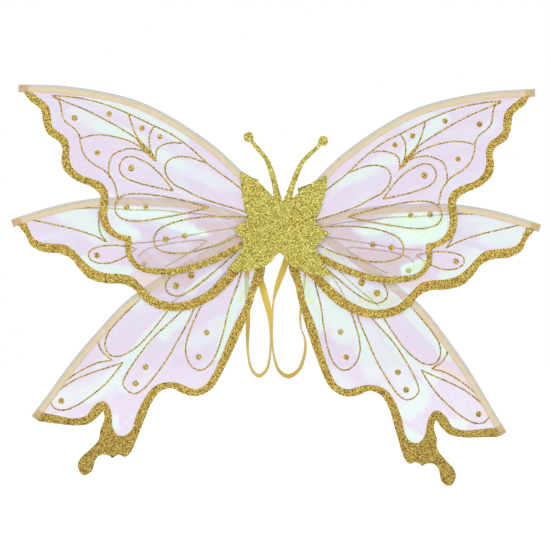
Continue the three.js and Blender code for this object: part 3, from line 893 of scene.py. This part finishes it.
class Wing:
    """One wing: where its drawing lies in the row frame, and how its film ripples."""

    def __init__(self, side, kind):
        self.side, self.kind, self.data = side, kind, WINGS[kind]
        self.name = f"{side}_{kind}"
        self.body = BODY[side]
        self.turn = math.radians(self.data["turn"])
        low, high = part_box(f"{self.name}_film")
        self.y = (low.y + high.y) / 2
        self.outline = rounded(face_rim(f"{self.name}_film", -1))
        self.sleeve = sleeve_line(self.name)
        self.spar = even(self.drawn(self.sleeve), SPAR_STEP)

    def placed(self, drawn):
        """Drawn millimetres to the row frame's [x, z] in metres."""
        if self.side == "left":
            return np.asarray(drawn, float) * (-MM, MM)
        return (turned(drawn, self.turn) + self.data["shift"]) * MM

    def drawn(self, flat):
        """The row frame's [x, z] in metres to drawn millimetres."""
        if self.side == "left":
            return flat / MM * (-1, 1)
        return turned(flat / MM - self.data["shift"], -self.turn)

    def outward(self, faces):
        """Faces made in the drawing's order, with the left wings' turned over, as the drawing is mirrored."""
        return [face[::-1] for face in faces] if self.side == "left" else faces

    def lift(self, drawn):
        """How far forward the film stands, in metres: folds fan out from the root and die at the sleeve."""
        away = drawn - self.data["root"]
        reach = np.linalg.norm(away, axis=1)
        angle = np.arctan2(away[:, 1], away[:, 0])
        phase = RIPPLE_PHASE[self.side]
        swing = SLOW_SWING * np.sin(reach / SLOW_REACH + phase) + FAST_SWING * np.sin(reach / FAST_REACH)
        folds = 0.5 + 0.5 * np.sin(self.data["folds"] * angle + swing + phase)
        broad = 0.5 + 0.5 * np.sin(BROAD_FOLDS * angle + reach / BROAD_REACH + 2 * phase)
        fade = smoothstep(reach, *ROOT_FADE) * smoothstep(nearest(drawn, self.spar), *SPAR_FADE)
        return self.data["depth"] * MM * fade * (FOLD_SHARE * folds + (1 - FOLD_SHARE) * broad)

    def along_spar(self, flat):
        """UV for the film, in metres: how far along the spar's chord, and how far below the spar."""
        root = self.sleeve[0]
        chord = (self.sleeve[-1] - root) / np.linalg.norm(self.sleeve[-1] - root)
        across = np.array([-chord[1], chord[0]])
        spar = self.sleeve - root
        along = (flat - root) @ chord
        below = np.interp(along, spar @ chord, spar @ across) - (flat - root) @ across
        return np.column_stack([along, below])

    def tint(self, flat):
        """The film's colour at each point, as STREAKS gives it, and a painted tan where another wing's sleeve
        lies behind it, standing in for the lit sleeve seen through.
        """
        value = np.full(len(flat), LILAC)
        for reach, colour, run in STREAKS[self.name]:
            line = even(spline(run, steps=6) * MM, TRACE_STEP)
            share = np.clip(1 + STREAK_CORE - nearest(flat, line) / (reach * MM), 0, 1)
            value = value + (colour - value) * share
        for kind in BEHIND[self.kind]:
            strip = even(sleeve_line(f"{self.side}_{kind}"), TRACE_STEP)
            share = smoothstep(nearest(flat, strip), *STRIP_REACH) * self.doubled(flat)
            value = value + (STRIP_BEHIND - value) * share
        return value

    def doubled(self, flat):
        """1 where the film lies over one of the wings behind it, and 0 where it is single."""
        value = np.zeros(len(flat))
        for kind in BEHIND[self.kind]:
            behind = rounded(face_rim(f"{self.side}_{kind}_film", -1))
            within = np.where(inside(flat, behind), 1, -1) * nearest(flat, even(behind, TRACE_STEP))
            value = np.maximum(value, smoothstep(within, *DOUBLED_EDGE))
        return value


def finish_piece(piece, wing):
    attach(piece, wing.body)
    return piece


def let_light_through(piece):
    """Light passes the sheer film on its way to what lies behind it."""
    piece.visible_shadow = False
    piece.visible_diffuse = False


def border_line(wing):
    """The glitter border's inner edge, in drawn millimetres."""
    runs = [spline(wing.data["border"], steps=4)]
    if wing.data["border_2"]:
        runs.append(spline(wing.data["border_2"], steps=4)[1:])
    inner = even(np.vstack(runs), BORDER_STEP)
    return inner - BORDER_SPREAD * left_of(inner)


def make_film_and_border(wing):
    """The film with the wide border raised on its front, out of the same triangles."""
    inner = wing.placed(border_line(wing))
    window = np.vstack([inner, wing.placed(wing.data["open"])])
    flat, triangles = fill(wing.outline, FILM_SPACING, [inner])
    outside = ~inside(flat[triangles].mean(axis=1), window)
    y = wing.y - wing.lift(wing.drawn(flat))
    film = add_piece(f"{wing.name}_sheet", upright(flat, y), triangles, FILMS[wing.kind],
                     wing.along_spar(flat))
    values = {"tint": wing.tint(flat), "doubled": wing.doubled(flat), "printed": outside.astype(float)}
    for name, numbers in values.items():
        domain = "FACE" if name == "printed" else "POINT"
        film.data.attributes.new(name, "FLOAT", domain).data.foreach_set("value", numbers)
    let_light_through(film)
    finish_piece(film, wing)
    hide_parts(f"{wing.name}_film")
    border = raised(f"{wing.name}_border", flat, triangles[outside], y)
    return film, finish_piece(border, wing)


def raised(name, flat, triangles, y):
    """A printed patch: its rim lies on the film, and its middle stands proud."""
    used = sorted(set(triangles.ravel()))
    rim = rim_points(triangles)
    front = {old: new for new, old in enumerate(used)}
    inner = [i for i in used if i not in rim]
    back = {old: len(used) + new for new, old in enumerate(inner)}
    gap, height = PRINT_GAP * MM, BORDER_HEIGHT * MM
    points = [(flat[i, 0], y[i] - (gap if i in rim else height), flat[i, 1]) for i in used]
    points += [(flat[i, 0], y[i] - gap, flat[i, 1]) for i in inner]
    faces = [[front[i] for i in t] for t in triangles]
    faces += [[back.get(i, front[i]) for i in t[::-1]] for t in triangles if any(i not in rim for i in t)]
    made = add_piece(name, points, faces, PRINT)
    made.data.set_sharp_from_angle(angle=RIM_ANGLE)
    return made


# The printed line's section: [across, up] as shares of half the width and of the height.
LINE_SECTION = [(-1, -0.2), (-0.75, 0.7), (0, 1), (0.75, 0.7), (1, -0.2)]


def add_line(run, width, points, faces, seed):
    line = even(spline(run, steps=5), LINE_STEP)
    faces += tube_faces(len(points), len(line), len(LINE_SECTION))
    for i, (centre, normal) in enumerate(zip(line, left_of(line))):
        swell = 1 + LINE_SWELL * noise.noise((i * LINE_SWELLS, seed, 0))
        end = min(i, len(line) - 1 - i)
        taper = min(1, (end + 1) * LINE_STEP / (LINE_TIP * width))
        for across, up in LINE_SECTION:
            place = centre + normal * across * (width / 2 * swell * taper)
            points.append((*place, up * LINE_HEIGHT * swell))


# A dot's rings: [reach, up] as shares of the radius and of the height.
DOT_RINGS = [(1.0, -0.2), (0.94, 0.45), (0.7, 0.85), (0.35, 1.0)]
DOT_SIDES = 18


def add_dot(u, v, radius, points, faces):
    faces += tube_faces(len(points), len(DOT_RINGS), DOT_SIDES)
    for share, up in DOT_RINGS:
        for k in range(DOT_SIDES):
            turn = 2 * math.pi * k / DOT_SIDES
            c, s = math.cos(turn), math.sin(turn)
            reach = radius * share * (1 + DOT_WOBBLE * noise.noise((c * DOT_WOBBLES, s * DOT_WOBBLES, u)))
            points.append((u + reach * c, v + reach * s, up * DOT_HEIGHT))


def make_print(wing):
    """The thin lines and dots, drawn flat in millimetres and then laid on the rippled film."""
    points, faces = [], []
    for seed, run in enumerate(wing.data["lines"]):
        add_line(run, LINE_WIDTH, points, faces, seed)
    for seed, (width, run) in enumerate(wing.data["blades"]):
        add_line(run, width, points, faces, seed)
    for u, v, radius in wing.data["dots"]:
        add_dot(u, v, radius, points, faces)
    points = np.array(points)
    y = wing.y - wing.lift(points[:, :2]) - points[:, 2] * MM
    flat = wing.placed(points[:, :2])
    made = add_piece(f"{wing.name}_print", upright(flat, y), wing.outward(faces), PRINT)
    return finish_piece(made, wing)


# The sleeve's section: [across the width, thickness] as shares of half of each, thin at the sealed edges.
SLEEVE_FRONT = [(-1, 0.12), (-0.84, 0.42), (-0.66, 0.9), (0, 1), (0.66, 0.95), (0.88, 0.72), (0.99, 0.3)]
SLEEVE_SECTION = SLEEVE_FRONT + [(across, -thick) for across, thick in reversed(SLEEVE_FRONT)]
SLEEVE_HALF_WIDTH = 5.95 * MM
SLEEVE_HALF_THICKNESS = 1.05 * MM
SLEEVE_STEP = 3.5 * MM
CREASE = 0.16
CREASES = (70, 1.5)  # to a metre along the sleeve, and to half its width


def make_sleeve(wing):
    line = even(spline(wing.sleeve, steps=6), SLEEVE_STEP)
    low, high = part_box(f"{wing.name}_sleeve")
    y = (low.y + high.y) / 2
    points, uv = [], []
    for i, (centre, normal) in enumerate(zip(line, left_of(line) * SIGN[wing.side])):
        from_tip = (len(line) - 1 - i) * SLEEVE_STEP
        for across, thick in SLEEVE_SECTION:
            where = (i * SLEEVE_STEP * CREASES[0], across * CREASES[1], wing.data["seed"])
            crease = 1 + CREASE * noise.noise(where)
            place = centre + normal * (across * SLEEVE_HALF_WIDTH)
            points.append((place[0], y - thick * SLEEVE_HALF_THICKNESS * crease, place[1]))
            uv.append((from_tip, 0.5 + across / 2))
    faces = tube_faces(0, len(line), len(SLEEVE_SECTION))
    if wing.side == "right":
        faces = [face[::-1] for face in faces]
    sleeve = add_piece(f"{wing.name}_hem", points, faces, SLEEVE, uv)
    let_light_through(sleeve)
    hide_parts(f"{wing.name}_sleeve")
    return finish_piece(sleeve, wing)


def make_wing(side, kind):
    wing = Wing(side, kind)
    film, border = make_film_and_border(wing)
    lines = make_print(wing)
    sleeve = make_sleeve(wing)
    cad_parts[f"{wing.name}_spar"].material_slots[0].material = BONING


FILMS = {kind: wing_film(f"wing_film_{kind}", WINGS[kind]["seed"]) for kind in WINGS}
for side in BODY:
    for kind in WINGS:
        make_wing(side, kind)


# Covers --------------------------------

COVER_TILT = math.radians(3)  # the covers lean to +X
ANTENNA_ROOT = [(0, 42), (14, 48.5)]  # notch and outer corner of the right antenna's root, mm
FOAM_SPACING = 2.6 * MM
CORE_SPACING = 3 * MM
CORE_STEP = 2 * MM
SEAM_PAST = 0.01  # how far the line that splits a cover runs past it
EDGE_RADIUS = 0.35 * MM
EDGE_PROFILE = 0.6
CUT_ANGLE = 1.2  # an edge that turns by more is one that the cutter left
SHARP_ANGLE = math.radians(35)


def slab(name, flat, triangles, rear, front, material):
    """A foam sheet over the triangles, with its cut edges a little rounded."""
    used = sorted(set(triangles.ravel()))
    index = {old: new for new, old in enumerate(used)}
    points = [(flat[i, 0], y, flat[i, 1]) for y in (front, rear) for i in used]
    faces = [[index[i] for i in t] for t in triangles]
    faces += [[index[i] + len(used) for i in t[::-1]] for t in triangles]
    edges = {(a, b): True for t in triangles for a, b in zip(t, np.roll(t, -1))}
    walls = [(a, b) for a, b in edges if (b, a) not in edges]
    faces += [(index[b], index[a], index[a] + len(used), index[b] + len(used)) for a, b in walls]
    made = add_piece(name, points, faces, material)
    mesh = bmesh.new()
    mesh.from_mesh(made.data)
    rims = [e for e in mesh.edges if len(e.link_faces) == 2
            and e.calc_face_angle() > CUT_ANGLE and not on_seam(e)]
    bmesh.ops.bevel(mesh, geom=rims, offset=EDGE_RADIUS, segments=2, profile=EDGE_PROFILE, affect="EDGES")
    mesh.to_mesh(made.data)
    mesh.free()
    made.data.set_sharp_from_angle(angle=SHARP_ANGLE)
    return made


def on_seam(edge):
    return all(abs(v.co.x) < SAME_PLACE for v in edge.verts)


def make_cover(node, prefix, antennae):
    """A cover in two halves, and the front one's antennae."""
    low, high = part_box(node)
    outline = rounded(face_rim(node, -1 if antennae else 1))
    seam = [(0.0, outline[:, 1].min() - SEAM_PAST), (0.0, outline[:, 1].max() + SEAM_PAST)]
    roots = [antenna_root(outline, sign) for sign in SIGN.values()] if antennae else []
    flat, triangles = fill(outline, FOAM_SPACING, [seam] + [outline[root] for root in roots])
    middles = flat[triangles].mean(axis=1)
    horn = np.zeros(len(triangles), bool)
    for first, last in roots:
        horn |= inside(middles, antenna_loop(outline, first, last))
    pieces = []
    for side, sign in SIGN.items():
        keep = (middles[:, 0] * sign > 0) & ~horn
        half = slab(f"{side}_{prefix}", flat, triangles[keep], high.y, low.y, FOAM)
        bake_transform(half)
        pieces.append(half)
    if antennae:
        horns = slab("antennae", flat, triangles[horn], high.y, low.y, FOAM)
        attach(horns, "centre")
        pieces.append(horns)
    for made in pieces:
        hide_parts(node)


def antenna_root(outline, sign):
    """Which of the outline's points are the notch and the outer corner of one antenna's root."""
    places = turned([(sign * across, up) for across, up in ANTENNA_ROOT], COVER_TILT) * MM
    return [int(np.linalg.norm(outline - place, axis=1).argmin()) for place in places]


def antenna_loop(outline, first, last):
    """The closed loop of one antenna: the outline from its notch to its outer corner, the short way over."""
    ahead = [outline[(first + k) % len(outline)] for k in range((last - first) % len(outline) + 1)]
    back = [outline[(first - k) % len(outline)] for k in range((first - last) % len(outline) + 1)]
    return np.array(ahead if len(ahead) < len(back) else back)


def make_core():
    """The foam block between the covers, with softened edges."""
    rim = rounded(face_rim("core_pad", -1), 1)
    low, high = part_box("core_pad")
    flat, triangles = fill(even(np.vstack([rim, rim[:1]]), CORE_STEP)[:-1], CORE_SPACING)
    pad = slab("core_block", flat, triangles, high.y, low.y, CORE)
    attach(pad, "centre")
    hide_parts("core_pad")


make_cover("front_cover", "front_foam", True)
make_cover("back_cover", "back_foam", False)
make_core()


# Studio --------------------------------

FLOOR_SIDES = 64
FLOOR_RADIUS = 3.0
FLOOR_DROP = 15 * MM
# Each light's name, place, size in metres and power in watts. All of them point at the origin.
LIGHTS = [
    ("key", (-1.4, -2.2, 1.8), 0.9, 11),
    ("fill", (1.8, -2.0, 0.3), 1.2, 3),
    ("rim", (0.6, 2.0, 1.5), 1.0, 5),
]


def make_floor():
    floor_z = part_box("left_lower_film")[0].z - FLOOR_DROP
    turns = [2 * math.pi * k / FLOOR_SIDES for k in range(FLOOR_SIDES)]
    rim = [(FLOOR_RADIUS * math.cos(turn), FLOOR_RADIUS * math.sin(turn), floor_z) for turn in turns]
    floor = add_piece("floor", rim, [range(FLOOR_SIDES)], floor_paper())


def make_light(name, place, size, power):
    data = bpy.data.lights.new(name, "AREA")
    data.size = size
    data.energy = power
    light = bpy.data.objects.new(name, data)
    light.location = place
    light.rotation_euler = (-Vector(place)).to_track_quat("-Z", "Y").to_euler()
    bpy.context.scene.collection.objects.link(light)


def make_studio():
    world = bpy.data.worlds.new("studio")
    world.use_nodes = True
    background = world.node_tree.nodes["Background"]
    background.inputs["Color"].default_value = (1, 1, 1, 1)
    background.inputs["Strength"].default_value = 1.0
    bpy.context.scene.world = world
    for light in LIGHTS:
        make_light(*light)
    bpy.context.scene.view_settings.view_transform = "Standard"
    make_floor()


make_studio()
